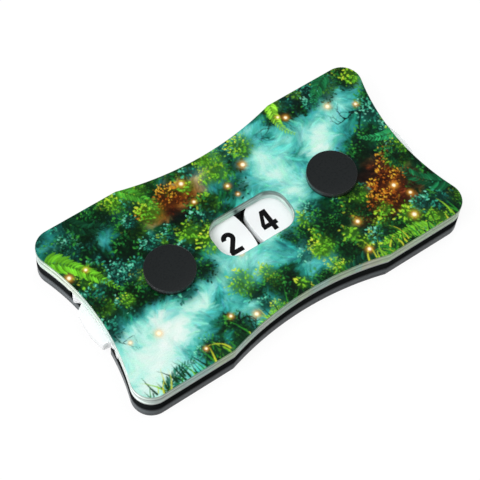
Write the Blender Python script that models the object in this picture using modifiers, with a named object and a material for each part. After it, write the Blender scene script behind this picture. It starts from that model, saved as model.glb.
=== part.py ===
"""A flat life counter with two numbered dials.

Three sheets of the same outline lie on one another.  The middle sheet is what is left
round two round cavities, a front and a rear spacer.  A dial with ten thumb notches
turns in each cavity on a hub ring, and a post and a screw hold the stack together
through each ring.  Everything is in metres, with the long side along X, the dials'
axes along Z and the underside at Z = 0.
"""

import math

import bmesh
import bpy

# Stack
SHEET_THICKNESS = 0.0028
SEAT_GAP = 0.0003

# Outline of the sheets
CASE_WIDTH = 0.0444
SIDE_WALL = 0.00145
RIM_REACH = 0.00245
END_HOLLOW_RADIUS = 0.052
CORNER_RADIUS = 0.0044
SIDE_HOLLOW_INSET = 0.001
SIDE_HOLLOW_DEPTH = 0.0028
SPACER_TIP_WIDTH = 0.0011

# Dials
DIAL_SPACING_GAP = 0.0009
RIM_CLEARANCE = 0.0004
FACE_CLEARANCE = 0.0004
DIGIT_COUNT = 10
NOTCH_DEPTH = 0.00145
NOTCH_ROOT_FILLET = 0.0005
NOTCH_SLOPE_FILLET = 0.0016
NOTCH_STEEP_FILLET = 0.00015
# Where a notch's corners lie between one digit and the next, and how deep each is
NOTCH_CORNER_SHARES = ((0.405, 0.0), (0.45, 1.0), (0.54, 1.0), (0.675, 0.0))

# Window over the two digits that show
WINDOW_LENGTH = 0.0187
WINDOW_WIDTH = 0.0099
WINDOW_CORNER_RADIUS = 0.0039

# Thumb notches in the ends of the bottom plate
THUMB_NOTCH_RADIUS = 0.0056
THUMB_NOTCH_DEPTH = 0.004

# Hub rings, posts and screws
HUB_RADIUS = 0.005
POST_RADIUS = 0.003
POST_HEAD_RADIUS = 0.0055
POST_HEAD_HEIGHT = 0.0013
POST_HEAD_ROUNDING = 0.0008
POST_ROOF = 0.0018
SCREW_RADIUS = 0.0015
SCREW_HEAD_RADIUS = 0.00275
SCREW_HEAD_LAND = 0.0002
SCREW_HEAD_SINK = 0.00015
SCREW_TIP_CHAMFER = 0.0003
SCREW_REACH = 0.0042
SOCKET_RADIUS = 0.0011
SOCKET_DEPTH = 0.0009
SOCKET_SIDES = 6

# Smoothness of the arcs, and how far a cutter runs past what it cuts
ARC_FLATNESS = 0.000008
TURNED_STEPS = 48
SHARP_EDGE_DEGREES = 30
CUT_OVERRUN = 0.001

# Places worked out from the sizes above
SHEET_PITCH = SHEET_THICKNESS + SEAT_GAP
MIDDLE_BOTTOM = SHEET_PITCH
MIDDLE_TOP = MIDDLE_BOTTOM + SHEET_THICKNESS
TOP_BOTTOM = MIDDLE_BOTTOM + SHEET_PITCH
STACK_TOP = TOP_BOTTOM + SHEET_THICKNESS
DIAL_BOTTOM = SHEET_THICKNESS + FACE_CLEARANCE
DIAL_THICKNESS = TOP_BOTTOM - SHEET_THICKNESS - FACE_CLEARANCE - FACE_CLEARANCE
HALF_WIDTH = CASE_WIDTH / 2
CAVITY_RADIUS = HALF_WIDTH - SIDE_WALL
DIAL_RADIUS = CAVITY_RADIUS - RIM_CLEARANCE
AXLE_OFFSET = DIAL_RADIUS + DIAL_SPACING_GAP / 2
WAIST_HALF_LENGTH = AXLE_OFFSET + DIAL_RADIUS - RIM_REACH
SIDE_HOLLOW_HALF_LENGTH = AXLE_OFFSET - SIDE_HOLLOW_INSET
POST_HOLE_RADIUS = POST_RADIUS + SEAT_GAP
SCREW_HOLE_RADIUS = SCREW_RADIUS + SEAT_GAP
DIAL_BORE_RADIUS = HUB_RADIUS + SEAT_GAP
AXLES = {"tens": -AXLE_OFFSET, "ones": AXLE_OFFSET}


def clear_scene():
    for item in list(bpy.data.objects):
        bpy.data.objects.remove(item, do_unlink=True)


def new_collection(name):
    collection = bpy.data.collections.new(name)
    bpy.context.scene.collection.children.link(collection)
    return collection


def material(name, color, roughness, metallic=0.0, transmission=0.0):
    made = bpy.data.materials.new(name)
    made.use_nodes = True
    shader = made.node_tree.nodes["Principled BSDF"]
    shader.inputs["Base Color"].default_value = (*color, 1.0)
    shader.inputs["Roughness"].default_value = roughness
    shader.inputs["Metallic"].default_value = metallic
    shader.inputs["Transmission Weight"].default_value = transmission
    made.diffuse_color = (*color, 1.0)
    return made


def clear_acrylic():
    return material("clear_acrylic", (0.72, 0.80, 0.74), 0.08, transmission=0.8)


def black_acrylic():
    return material("black_acrylic", (0.008, 0.009, 0.010), 0.15)


def grey_acrylic():
    return material("grey_acrylic", (0.085, 0.095, 0.105), 0.2)


def white_acrylic():
    return material("white_acrylic", (0.90, 0.92, 0.93), 0.25)


def black_nylon():
    return material("black_nylon", (0.018, 0.022, 0.023), 0.45)


def plated_steel():
    return material("plated_steel", (0.56, 0.57, 0.58), 0.35, metallic=1.0)


def arc(centre, radius, start, end):
    """Points from angle start to angle end, fine enough that no chord strays far from the arc."""
    widest = 2 * math.acos(1 - ARC_FLATNESS / radius)
    steps = max(2, math.ceil(abs(end - start) / widest))
    angles = [start + (end - start) * step / steps for step in range(steps + 1)]
    return [
        (centre[0] + radius * math.cos(angle), centre[1] + radius * math.sin(angle))
        for angle in angles
    ]


def circle(radius, centre=(0.0, 0.0)):
    return arc(centre, radius, 0.0, math.tau)[:-1]


def end_hollow_centre():
    return WAIST_HALF_LENGTH + END_HOLLOW_RADIUS


def end_hollow_x(y):
    """How far from the middle the hollow end lies at this height."""
    return end_hollow_centre() - math.sqrt(END_HOLLOW_RADIUS**2 - y**2)


def side_hollow_radius():
    half, depth = SIDE_HOLLOW_HALF_LENGTH, SIDE_HOLLOW_DEPTH
    return (half**2 + depth**2) / (2 * depth)


def side_hollow_arc():
    radius = side_hollow_radius()
    centre = (0.0, HALF_WIDTH - SIDE_HOLLOW_DEPTH + radius)
    swing = math.asin(SIDE_HOLLOW_HALF_LENGTH / radius)
    return arc(centre, radius, -math.pi / 2, -math.pi / 2 + swing)


def corner_and_end_arcs():
    """The rounded corner, and the hollow end that it runs into without a kink."""
    height = HALF_WIDTH - CORNER_RADIUS
    reach = math.sqrt((END_HOLLOW_RADIUS + CORNER_RADIUS) ** 2 - height**2)
    corner_centre = (end_hollow_centre() - reach, height)
    tangent = -math.atan2(height, reach)
    corner = arc(corner_centre, CORNER_RADIUS, math.pi / 2, tangent)
    end = arc((end_hollow_centre(), 0.0), END_HOLLOW_RADIUS, math.pi + tangent, math.pi)
    return corner + end[1:]


def quarter_outline():
    """From the middle of the long side, round the corner, to the middle of the end."""
    return side_hollow_arc() + corner_and_end_arcs()


def half_outline():
    """The edge of the half at +Y, from the -X end to the +X end."""
    quarter = quarter_outline()
    return [(-x, y) for x, y in reversed(quarter)] + quarter[1:]


def sheet_outline():
    half = half_outline()
    return half + [(x, -y) for x, y in reversed(half[1:-1])]


def spacer_outline():
    """The rear half of the sheet, started where the tip between the cavities ends."""
    inset = AXLE_OFFSET - SPACER_TIP_WIDTH / 2
    tip_y = math.sqrt(CAVITY_RADIUS**2 - inset**2)
    edge = [(x, y) for x, y in half_outline() if y > tip_y]
    end_x = end_hollow_x(tip_y)
    return [(-end_x, tip_y)] + edge + [(end_x, tip_y)]


def window_outline():
    across = WINDOW_LENGTH / 2 - WINDOW_CORNER_RADIUS
    up = WINDOW_WIDTH / 2 - WINDOW_CORNER_RADIUS
    points = []
    for turn, (x, y) in enumerate(((across, up), (-across, up), (-across, -up), (across, -up))):
        start = turn * math.pi / 2
        points += arc((x, y), WINDOW_CORNER_RADIUS, start, start + math.pi / 2)
    return points


def fillet(before, corner, after, radius):
    """The arc that rounds a corner between two straight lines."""
    to_before = math.atan2(before[1] - corner[1], before[0] - corner[0])
    to_after = math.atan2(after[1] - corner[1], after[0] - corner[0])
    opening = (to_after - to_before + math.pi) % math.tau - math.pi
    middle = to_before + opening / 2
    reach = radius / math.sin(abs(opening) / 2)
    centre = (corner[0] + reach * math.cos(middle), corner[1] + reach * math.sin(middle))
    turn = math.copysign(math.pi - abs(opening), opening)
    start = middle + math.pi + turn / 2
    return arc(centre, radius, start, start - turn)


def on_dial(share, radius):
    angle = share * math.tau / DIGIT_COUNT
    return (radius * math.cos(angle), radius * math.sin(angle))


def notch_outline():
    """One thumb notch: a steep side, a short floor and a long slope up to the rim."""
    fillets = (NOTCH_STEEP_FILLET, NOTCH_ROOT_FILLET, NOTCH_ROOT_FILLET, NOTCH_SLOPE_FILLET)
    corners = [on_dial(share, DIAL_RADIUS - deep * NOTCH_DEPTH) for share, deep in NOTCH_CORNER_SHARES]
    first_share, last_share = NOTCH_CORNER_SHARES[0][0], NOTCH_CORNER_SHARES[-1][0]
    margin = last_share - first_share
    rim_before = on_dial(first_share - margin, DIAL_RADIUS)
    rim_after = on_dial(last_share + margin, DIAL_RADIUS)
    chain = [rim_before] + corners + [rim_after]
    points = []
    for index, radius in enumerate(fillets, start=1):
        points += fillet(chain[index - 1], chain[index], chain[index + 1], radius)
    return points


def dial_outline():
    notch = notch_outline()
    start = math.atan2(notch[-1][1], notch[-1][0])
    pitch = math.tau / DIGIT_COUNT
    end = math.atan2(notch[0][1], notch[0][0]) + pitch
    lobe = notch + arc((0.0, 0.0), DIAL_RADIUS, start, end)[1:-1]
    points = []
    for index in range(DIGIT_COUNT):
        turn = index * pitch
        across, up = math.cos(turn), math.sin(turn)
        points += [(x * across - y * up, x * up + y * across) for x, y in lobe]
    return points


def flat_piece(name, loops, bottom, thickness, finish, collection, axle=0.0):
    """A piece cut from sheet: the first loop is its edge and the others are holes."""
    curve = bpy.data.curves.new(name, "CURVE")
    curve.dimensions = "2D"
    curve.fill_mode = "BOTH"
    curve.extrude = thickness / 2
    for loop in loops:
        spline = curve.splines.new("POLY")
        spline.points.add(len(loop) - 1)
        for point, (x, y) in zip(spline.points, loop):
            point.co = (x, y, 0.0, 1.0)
        spline.use_cyclic_u = True
    curve.materials.append(finish)
    piece = bpy.data.objects.new(name, curve)
    piece.location = (axle, 0.0, bottom + thickness / 2)
    collection.objects.link(piece)
    return as_welded_mesh(piece)


def as_welded_mesh(piece):
    """The piece as it comes out of its curve or modifiers, welded, and smooth but for its sharp edges."""
    bpy.context.view_layer.update()
    graph = bpy.context.evaluated_depsgraph_get()
    mesh = bpy.data.meshes.new_from_object(piece.evaluated_get(graph))
    welded = bmesh.new()
    welded.from_mesh(mesh)
    bmesh.ops.remove_doubles(welded, verts=welded.verts, dist=ARC_FLATNESS / 2)
    bmesh.ops.recalc_face_normals(welded, faces=welded.faces)
    welded.to_mesh(mesh)
    welded.free()
    mesh.shade_smooth()
    mesh.set_sharp_from_angle(angle=math.radians(SHARP_EDGE_DEGREES))
    name, collection, matrix = piece.name, piece.users_collection[0], piece.matrix_world.copy()
    bpy.data.objects.remove(piece, do_unlink=True)
    made = bpy.data.objects.new(name, mesh)
    made.matrix_world = matrix
    collection.objects.link(made)
    return made


def turned_piece(name, profile, finish, collection, axle=0.0):
    """A profile of (radius, height) points, from the top of the axis down the outside, spun round Z."""
    mesh = bpy.data.meshes.new(name)
    edges = [(index, index + 1) for index in range(len(profile) - 1)]
    mesh.from_pydata([(radius, 0.0, height) for radius, height in profile], edges, [])
    if finish:
        mesh.materials.append(finish)
    piece = bpy.data.objects.new(name, mesh)
    piece.location = (axle, 0.0, 0.0)
    collection.objects.link(piece)
    spin = piece.modifiers.new("spin", "SCREW")
    spin.steps = TURNED_STEPS
    spin.render_steps = TURNED_STEPS
    spin.use_merge_vertices = True
    spin.merge_threshold = ARC_FLATNESS / 2
    spin.use_smooth_shade = True
    return piece


def as_cutter(piece):
    piece.hide_render = True
    piece.display_type = "WIRE"
    return piece


def upright_cutter(name, radius, centre, low, high, collection, sides=None):
    """An upright prism, or a cylinder as smooth as a circle of this radius is elsewhere."""
    mesh = bpy.data.meshes.new(name)
    shape = bmesh.new()
    bmesh.ops.create_cone(
        shape,
        cap_ends=True,
        segments=sides or len(circle(radius)),
        radius1=radius,
        radius2=radius,
        depth=high - low,
    )
    shape.to_mesh(mesh)
    shape.free()
    piece = bpy.data.objects.new(name, mesh)
    piece.location = (centre, 0.0, (low + high) / 2)
    collection.objects.link(piece)
    return as_cutter(piece)


def cut(piece, cutter):
    step = piece.modifiers.new(cutter.name, "BOOLEAN")
    step.operation = "DIFFERENCE"
    step.solver = "EXACT"
    step.object = cutter


def post_holes(radius):
    return [circle(radius, (axle, 0.0)) for axle in AXLES.values()]


def add_bottom_plate(parts, cutters):
    plate = flat_piece("bottom_plate", [sheet_outline()], 0.0, SHEET_THICKNESS, grey_acrylic(), parts)
    high = SHEET_THICKNESS + CUT_OVERRUN
    notch_centre = WAIST_HALF_LENGTH - THUMB_NOTCH_DEPTH + THUMB_NOTCH_RADIUS
    for dial, axle in AXLES.items():
        centre = math.copysign(notch_centre, axle)
        name = dial + "_thumb_notch"
        cut(plate, upright_cutter(name, THUMB_NOTCH_RADIUS, centre, -CUT_OVERRUN, high, cutters))
        cut(plate, screw_hole_cutter(dial, axle, high, cutters))


def screw_hole_cutter(dial, axle, high, cutters):
    """A clearance hole that opens into a cone, parallel to the screw head's own."""
    mouth = SCREW_HEAD_RADIUS + SEAT_GAP
    cone_bottom = SCREW_HEAD_SINK + SCREW_HEAD_LAND
    cone_top = cone_bottom + mouth - SCREW_HOLE_RADIUS
    profile = [
        (0.0, high),
        (SCREW_HOLE_RADIUS, high),
        (SCREW_HOLE_RADIUS, cone_top),
        (mouth, cone_bottom),
        (mouth, -CUT_OVERRUN),
        (0.0, -CUT_OVERRUN),
    ]
    return as_cutter(turned_piece(dial + "_screw_hole", profile, None, cutters, axle))


def add_spacers(parts, cutters):
    """Both spacers are the same piece, turned half round."""
    finish = black_acrylic()
    low, high = MIDDLE_BOTTOM - CUT_OVERRUN, MIDDLE_TOP + CUT_OVERRUN
    cavities = [
        upright_cutter(dial + "_cavity", CAVITY_RADIUS, axle, low, high, cutters)
        for dial, axle in AXLES.items()
    ]
    for name, turn in (("rear_spacer", 0.0), ("front_spacer", math.pi)):
        spacer = flat_piece(name, [spacer_outline()], MIDDLE_BOTTOM, SHEET_THICKNESS, finish, parts)
        spacer.rotation_euler = (0.0, 0.0, turn)
        for cavity in cavities:
            cut(spacer, cavity)


def add_top_plate(parts):
    loops = [sheet_outline(), window_outline()] + post_holes(POST_HOLE_RADIUS)
    flat_piece("top_plate", loops, TOP_BOTTOM, SHEET_THICKNESS, clear_acrylic(), parts)


def add_dial(dial, axle, finish, parts):
    loops = [dial_outline(), circle(DIAL_BORE_RADIUS)]
    flat_piece(dial + "_dial", loops, DIAL_BOTTOM, DIAL_THICKNESS, finish, parts, axle)


def add_hub(dial, axle, finish, parts):
    loops = [circle(HUB_RADIUS), circle(POST_HOLE_RADIUS)]
    flat_piece(dial + "_hub", loops, MIDDLE_BOTTOM, SHEET_THICKNESS, finish, parts, axle)


def add_post(dial, axle, finish, parts):
    """A flat head with a rounded edge on a shank that is bored from below."""
    seat = STACK_TOP + SEAT_GAP
    top = seat + POST_HEAD_HEIGHT
    rounding_centre = (POST_HEAD_RADIUS - POST_HEAD_ROUNDING, top - POST_HEAD_ROUNDING)
    profile = [(0.0, top)]
    profile += arc(rounding_centre, POST_HEAD_ROUNDING, math.pi / 2, 0.0)
    profile += [
        (POST_HEAD_RADIUS, seat),
        (POST_RADIUS, seat),
        (POST_RADIUS, MIDDLE_BOTTOM),
        (SCREW_HOLE_RADIUS, MIDDLE_BOTTOM),
        (SCREW_HOLE_RADIUS, top - POST_ROOF),
        (0.0, top - POST_ROOF),
    ]
    turned_piece(dial + "_post", profile, finish, parts, axle)


def add_screw(dial, axle, finish, parts, cutters):
    """A countersunk screw with a hexagon socket, its head just inside the underside."""
    cone_bottom = SCREW_HEAD_SINK + SCREW_HEAD_LAND
    cone_top = cone_bottom + SCREW_HEAD_RADIUS - SCREW_RADIUS
    tip = cone_top + SCREW_REACH
    profile = [
        (0.0, tip),
        (SCREW_RADIUS - SCREW_TIP_CHAMFER, tip),
        (SCREW_RADIUS, tip - SCREW_TIP_CHAMFER),
        (SCREW_RADIUS, cone_top),
        (SCREW_HEAD_RADIUS, cone_bottom),
        (SCREW_HEAD_RADIUS, SCREW_HEAD_SINK),
        (0.0, SCREW_HEAD_SINK),
    ]
    screw = turned_piece(dial + "_screw", profile, finish, parts, axle)
    high = SCREW_HEAD_SINK + SOCKET_DEPTH
    name = dial + "_socket"
    cut(screw, upright_cutter(name, SOCKET_RADIUS, axle, -CUT_OVERRUN, high, cutters, SOCKET_SIDES))


def build():
    clear_scene()
    parts = new_collection("life_counter")
    cutters = new_collection("cutters")
    white, black, nylon, steel = white_acrylic(), black_acrylic(), black_nylon(), plated_steel()
    add_bottom_plate(parts, cutters)
    add_spacers(parts, cutters)
    add_top_plate(parts)
    for dial, axle in AXLES.items():
        add_dial(dial, axle, white, parts)
        add_hub(dial, axle, black, parts)
        add_post(dial, axle, nylon, parts)
        add_screw(dial, axle, steel, parts, cutters)
    for piece in list(parts.objects):
        as_welded_mesh(piece)


build()
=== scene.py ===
"""How the life counter looks: three acrylic sheets, two numbered dials and two posts.

Lengths are in millimetres until a mesh is made.  The long side lies along X, the dials'
axes along Z and the underside at Z = 0.
"""

from math import asin, atan2, ceil, copysign, cos, dist, exp, hypot, pi, radians, sin, sqrt, tau

import bmesh
import bpy
import numpy as np
from mathutils import Matrix, Vector
from mathutils.geometry import delaunay_2d_cdt


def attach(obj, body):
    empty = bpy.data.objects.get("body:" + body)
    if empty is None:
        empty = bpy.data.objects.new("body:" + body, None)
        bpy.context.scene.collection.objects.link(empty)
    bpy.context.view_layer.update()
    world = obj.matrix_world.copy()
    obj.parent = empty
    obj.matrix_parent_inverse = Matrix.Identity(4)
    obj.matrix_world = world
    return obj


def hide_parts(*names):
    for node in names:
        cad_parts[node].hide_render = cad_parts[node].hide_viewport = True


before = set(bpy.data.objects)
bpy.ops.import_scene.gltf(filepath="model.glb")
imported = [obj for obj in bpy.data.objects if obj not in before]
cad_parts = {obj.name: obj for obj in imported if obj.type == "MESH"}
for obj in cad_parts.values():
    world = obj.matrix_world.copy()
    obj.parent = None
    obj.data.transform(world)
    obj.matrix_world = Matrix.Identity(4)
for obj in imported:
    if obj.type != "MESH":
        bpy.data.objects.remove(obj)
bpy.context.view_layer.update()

MM = 0.001

# Layers
SHEET = 3.0
TOP_OF_STACK = 3 * SHEET
DIAL_LOW, DIAL_HIGH = 3.2, 5.8
POST_TOP = 10.6
POST_GAP = 0.1
POST_FOOT = SHEET + POST_GAP
BORE_TOP = 8.8
HEAD_LOW = TOP_OF_STACK + 0.02

# Plan
AXLE = 20.8
SIDES = {"tens": -AXLE, "ones": AXLE}
DIAL_RADIUS = 20.35
CAVITY_RADIUS = 20.75
HALF_WIDTH = 22.2
WAIST = 38.7
END_HOLLOW_RADIUS = 52.0
END_CENTRE = WAIST + END_HOLLOW_RADIUS
CORNER_RADIUS = 4.4
SIDE_HOLLOW_HALF = 19.8
SIDE_HOLLOW_DEPTH = 2.8
TIP_HALF = 0.55
TIP_REACH = 6.0
THUMB_RADIUS = 5.6
THUMB_DEPTH = 4.0
WINDOW_LENGTH, WINDOW_WIDTH, WINDOW_CORNER = 18.7, 9.9, 3.9
HUB_RADIUS, HUB_GAP = 5.0, 0.3
POST_RADIUS = 3.0
HEAD_RADIUS, HEAD_FLAT = 5.5, 2.5
SCREW_HOLE = 1.8

# Walls: how far inside the plan curves, their roundings, and a countersink (deeper, height)
FIT = 0.005
CUT_EDGE, JOINT_EDGE, PRINTED_EDGE, HEAD_EDGE = 0.06, 0.02, 0.12, 0.1
SINK = ((1.25, 0.0), (1.25, 0.35), (0.0, 1.6), (0.0, SHEET))

# Lobes of a dial, and the corners of a notch and the rim beside it: (share of the pitch, depth)
LOBES = 10
NOTCH = ((0.135, 0.0), (0.405, 0.0), (0.45, 1.45), (0.54, 1.45), (0.675, 0.0), (0.945, 0.0))
NOTCH_FILLETS = (0.15, 0.5, 0.5, 1.6)

# How fine the meshes are, and from which angle their edges are sharp
CHORD = 0.3
ARC_STEP = radians(9)
PRINT_GRID = 0.2135
SAME_SPOT = 1e-7
SHARP_CORNER = radians(12)
SHARP_BAND = radians(35)

# Painted shade and highlight bands along the walls, by height: (height, share of the full colour)
# Painted shade on the grey walls, darker towards both faces and darkest near the top
GREY_BANDS = (
    (0.0, 0.7), (0.8, 0.6), (1.1, 0.7), (1.6, 1.0),
    (2.0, 0.9), (2.35, 0.62), (2.65, 0.25), (3.0, 0.12),
)
# Painted highlight along the black walls' top edge, in the edge colour below
BLACK_BANDS = ((3.0, 1.0), (5.45, 1.0), (5.62, 0.38), (6.0, 0.15))
# Painted dark lines across the clear walls, standing for light refracted in them
CLEAR_LINES = (
    (6.1, 1.0), (6.8, 0.94), (7.3, 0.82), (7.65, 0.5),
    (7.95, 0.8), (8.2, 1.0), (8.55, 1.0), (8.85, 0.7),
)
# Painted shade towards the foot of the post heads' sides
HEAD_BANDS = ((9.0, 0.15), (9.55, 0.35), (9.95, 1.0), (10.6, 1.0))
PLAIN = ((0.0, 1.0), (TOP_OF_STACK, 1.0))
# The colour of the painted highlight along the black walls' top edge
PAINTED_EDGE_HIGHLIGHT = (0.58, 0.62, 0.59)
UPRIGHT = (1.0, 1.0, 0.02)

# Numbers on the dials
DIGIT_HEIGHT = 5.53
STROKE = 1.08
DIGIT_RING = {"tens": 15.5, "ones": 16.62}
DIGIT_TURN = {"tens": radians(-1.0), "ones": 0.0}
DIGIT_RISE = 0.03
SHOWN = {"tens": 2, "ones": 4}

# Half the printed area
PRINT_X, PRINT_Y = 42.0, 22.5

# Camera: azimuth, elevation and roll in degrees, distance in metres
CAMERA_ANGLES = (-40.778, 61.274, 6.331)
CAMERA_DISTANCE = 0.3541
LENS, SENSOR = 123.49, 36.0
LENS_SHIFT = (-0.02034, 0.0068)

# Lamps: name, place and size in metres, power in watts
LAMPS = (
    ("key_lamp", (-0.322, -0.056, 0.527), 0.4, 3.25),
    ("top_lamp", (0.17, -0.01, 0.60), 0.4, 1.2),
    ("side_lamp", (-0.587, 0.170, 0.040), 0.08, 0.8),
    ("rear_lamp", (0.42, 0.38, 0.12), 0.3, 2.2),
)

# Floor: half its side and its distance below the part in metres, its grey, and the white over it
FLOOR_HALF, FLOOR_DROP = 3.0, 0.0001
FLOOR_GREY, FLOOR_WHITE, FLOOR_SHARE = 0.58, 1.09, 0.82


# Plan curves

def arc(centre, radius, start, end):
    swing = abs(end - start)
    steps = max(2, ceil(swing * radius / CHORD), ceil(swing / ARC_STEP))
    angles = np.linspace(start, end, steps + 1)
    return [(centre[0] + radius * cos(a), centre[1] + radius * sin(a)) for a in angles]


def circle(radius, centre=(0.0, 0.0)):
    return arc(centre, radius, 0.0, tau)[:-1]


def quarter_outline():
    """From the middle of the rear side, round the corner at +X, to the middle of the end."""
    radius = (SIDE_HOLLOW_HALF**2 + SIDE_HOLLOW_DEPTH**2) / (2 * SIDE_HOLLOW_DEPTH)
    swing = asin(SIDE_HOLLOW_HALF / radius)
    low = HALF_WIDTH - SIDE_HOLLOW_DEPTH
    side = arc((0.0, low + radius), radius, -pi / 2, -pi / 2 + swing)
    height = HALF_WIDTH - CORNER_RADIUS
    reach = sqrt((END_HOLLOW_RADIUS + CORNER_RADIUS) ** 2 - height**2)
    tangent = -atan2(height, reach)
    flat_end = END_CENTRE - reach
    run = max(1, ceil((flat_end - SIDE_HOLLOW_HALF) / CHORD))
    straight = [(x, HALF_WIDTH) for x in np.linspace(SIDE_HOLLOW_HALF, flat_end, run + 1)[1:-1]]
    corner = arc((flat_end, height), CORNER_RADIUS, pi / 2, tangent)
    end = arc((END_CENTRE, 0.0), END_HOLLOW_RADIUS, pi + tangent, pi)
    return side + straight + corner + end[1:]


def mirrored(points, x=1, y=1):
    """The points in reverse, mirrored where a factor is -1."""
    return [(x * px, y * py) for px, py in reversed(points)]


def half_outline():
    quarter = quarter_outline()
    return mirrored(quarter, x=-1) + quarter[1:]


def counterclockwise(loop):
    xs, ys = np.array(loop).T
    area = np.sum(xs * np.roll(ys, -1) - np.roll(xs, -1) * ys)
    return loop if area > 0 else loop[::-1]


def sheet_outline():
    half = half_outline()
    return counterclockwise(half + mirrored(half[1:-1], y=-1))


def crossing(centre, radius):
    """Where a circle on the X axis crosses the hollow end, at positive Y."""
    apart = END_CENTRE - centre
    along = (radius**2 - END_HOLLOW_RADIUS**2 + apart**2) / (2 * apart)
    return centre + along, sqrt(radius**2 - along**2)


def bottom_outline():
    """The sheet with a round thumb notch in each end."""
    notch = WAIST - THUMB_DEPTH + THUMB_RADIUS
    x, y = crossing(notch, THUMB_RADIUS)
    swing = atan2(y, x - notch)
    bite = arc((notch, 0.0), THUMB_RADIUS, swing, tau - swing)
    half = [p for p in half_outline() if p[1] > y or abs(p[0]) < WAIST - THUMB_DEPTH]
    inner = bite[: len(bite) // 2 + 1]
    rear = mirrored(inner, x=-1) + half + inner
    return counterclockwise(rear + mirrored(rear[1:-1], y=-1))


def spacer_outline():
    """The rear part of the middle layer, round both cavities."""
    x, y = crossing(AXLE, CAVITY_RADIUS)
    tip_y = sqrt(CAVITY_RADIUS**2 - (AXLE - TIP_HALF) ** 2)
    outer = [p for p in half_outline() if p[1] > y]
    start = atan2(y, x - AXLE)
    cavity = arc((AXLE, 0.0), CAVITY_RADIUS, start, atan2(tip_y, TIP_HALF - AXLE))
    return counterclockwise(outer + cavity + mirrored(cavity, x=-1))


def window_outline():
    """A rounded oblong, with points added along its straight sides."""
    x, y = WINDOW_LENGTH / 2 - WINDOW_CORNER, WINDOW_WIDTH / 2 - WINDOW_CORNER
    loop, points = [], []
    for turn, centre in enumerate(((x, y), (-x, y), (-x, -y), (x, -y))):
        loop += arc(centre, WINDOW_CORNER, turn * pi / 2, (turn + 1) * pi / 2)
    for (ax, ay), (bx, by) in zip(loop, loop[1:] + loop[:1]):
        pieces = max(1, ceil(hypot(bx - ax, by - ay) / CHORD))
        for k in range(pieces):
            points.append((ax + (bx - ax) * k / pieces, ay + (by - ay) * k / pieces))
    return points


def fillet(before, corner, after, radius):
    """The arc that rounds a corner."""
    turns = [atan2(p[1] - corner[1], p[0] - corner[0]) for p in (before, after)]
    to_before, to_after = turns
    opening = (to_after - to_before + pi) % tau - pi
    middle = to_before + opening / 2
    reach = radius / sin(abs(opening) / 2)
    centre = (corner[0] + reach * cos(middle), corner[1] + reach * sin(middle))
    turn = copysign(pi - abs(opening), opening)
    start = middle + pi + turn / 2
    return arc(centre, radius, start, start - turn)


def dial_outline():
    """Ten lobes with a thumb notch between each two, steep on one side and sloping on the other."""
    pitch = tau / LOBES
    chain = []
    for share, deep in NOTCH:
        radius, turn = DIAL_RADIUS - deep, share * pitch
        chain.append((radius * cos(turn), radius * sin(turn)))
    notch = []
    for k, radius in enumerate(NOTCH_FILLETS, start=1):
        notch += fillet(*chain[k - 1 : k + 2], radius)
    start = atan2(notch[-1][1], notch[-1][0])
    end = atan2(notch[0][1], notch[0][0]) + pitch
    lobe = notch + arc((0.0, 0.0), DIAL_RADIUS, start, end)[1:-1]
    points = []
    for k in range(LOBES):
        c, s = cos(k * pitch), sin(k * pitch)
        points += [(x * c - y * s, x * s + y * c) for x, y in lobe]
    return points


# Solids from plan curves

def inset(loop, distance, outward_solid):
    """The loop moved into the material by a distance."""
    points = np.array(loop)
    ahead = np.roll(points, -1, axis=0) - points
    ahead /= np.linalg.norm(ahead, axis=1)[:, None]
    normal = np.stack([-ahead[:, 1], ahead[:, 0]], axis=1)
    both = normal + np.roll(normal, 1, axis=0)
    both /= np.maximum(np.sum(both * np.roll(normal, 1, axis=0), axis=1), 0.5)[:, None]
    return points + both * (distance if outward_solid else -distance)


def inside(points, loop):
    """Which points lie inside the loop."""
    xs, ys = points[:, 0][:, None], points[:, 1][:, None]
    a = np.array(loop)
    b = np.roll(a, -1, axis=0)
    across = (a[:, 1] > ys) != (b[:, 1] > ys)
    slope = (b[:, 0] - a[:, 0]) / np.where(b[:, 1] == a[:, 1], 1e-12, b[:, 1] - a[:, 1])
    return (np.sum(across & (xs < a[:, 0] + (ys - a[:, 1]) * slope), axis=1) % 2) == 1


def nearest(points, others):
    """Each point's squared distance to the nearest of the others."""
    return np.min(np.sum((points[:, None] - others[None]) ** 2, axis=2), axis=1)


def in_chunks(test, points, others, size=4000):
    """The test of the points against the others, in parts to spare memory."""
    return np.concatenate([test(points[k : k + size], others) for k in range(0, len(points), size)])


def in_material(points, loops):
    """Which points lie inside the first loop and outside the others."""
    solid = in_chunks(inside, points, loops[0])
    for loop in loops[1:]:
        solid &= ~in_chunks(inside, points, loop)
    return solid


def grid_points(loops, edges, grid):
    """Points of even triangles in the material, clear of its edges."""
    low, high = edges.min(0), edges.max(0)
    rows = np.arange(low[1], high[1], grid * sqrt(3) / 2)
    columns = np.arange(low[0], high[0], grid)
    xs, ys = np.meshgrid(columns, rows)
    xs[1::2] += grid / 2
    points = np.stack([xs.ravel(), ys.ravel()], axis=1)
    points = points[in_material(points, loops)]
    return points[in_chunks(nearest, points, edges, 2000) > (0.6 * grid) ** 2]


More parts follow.
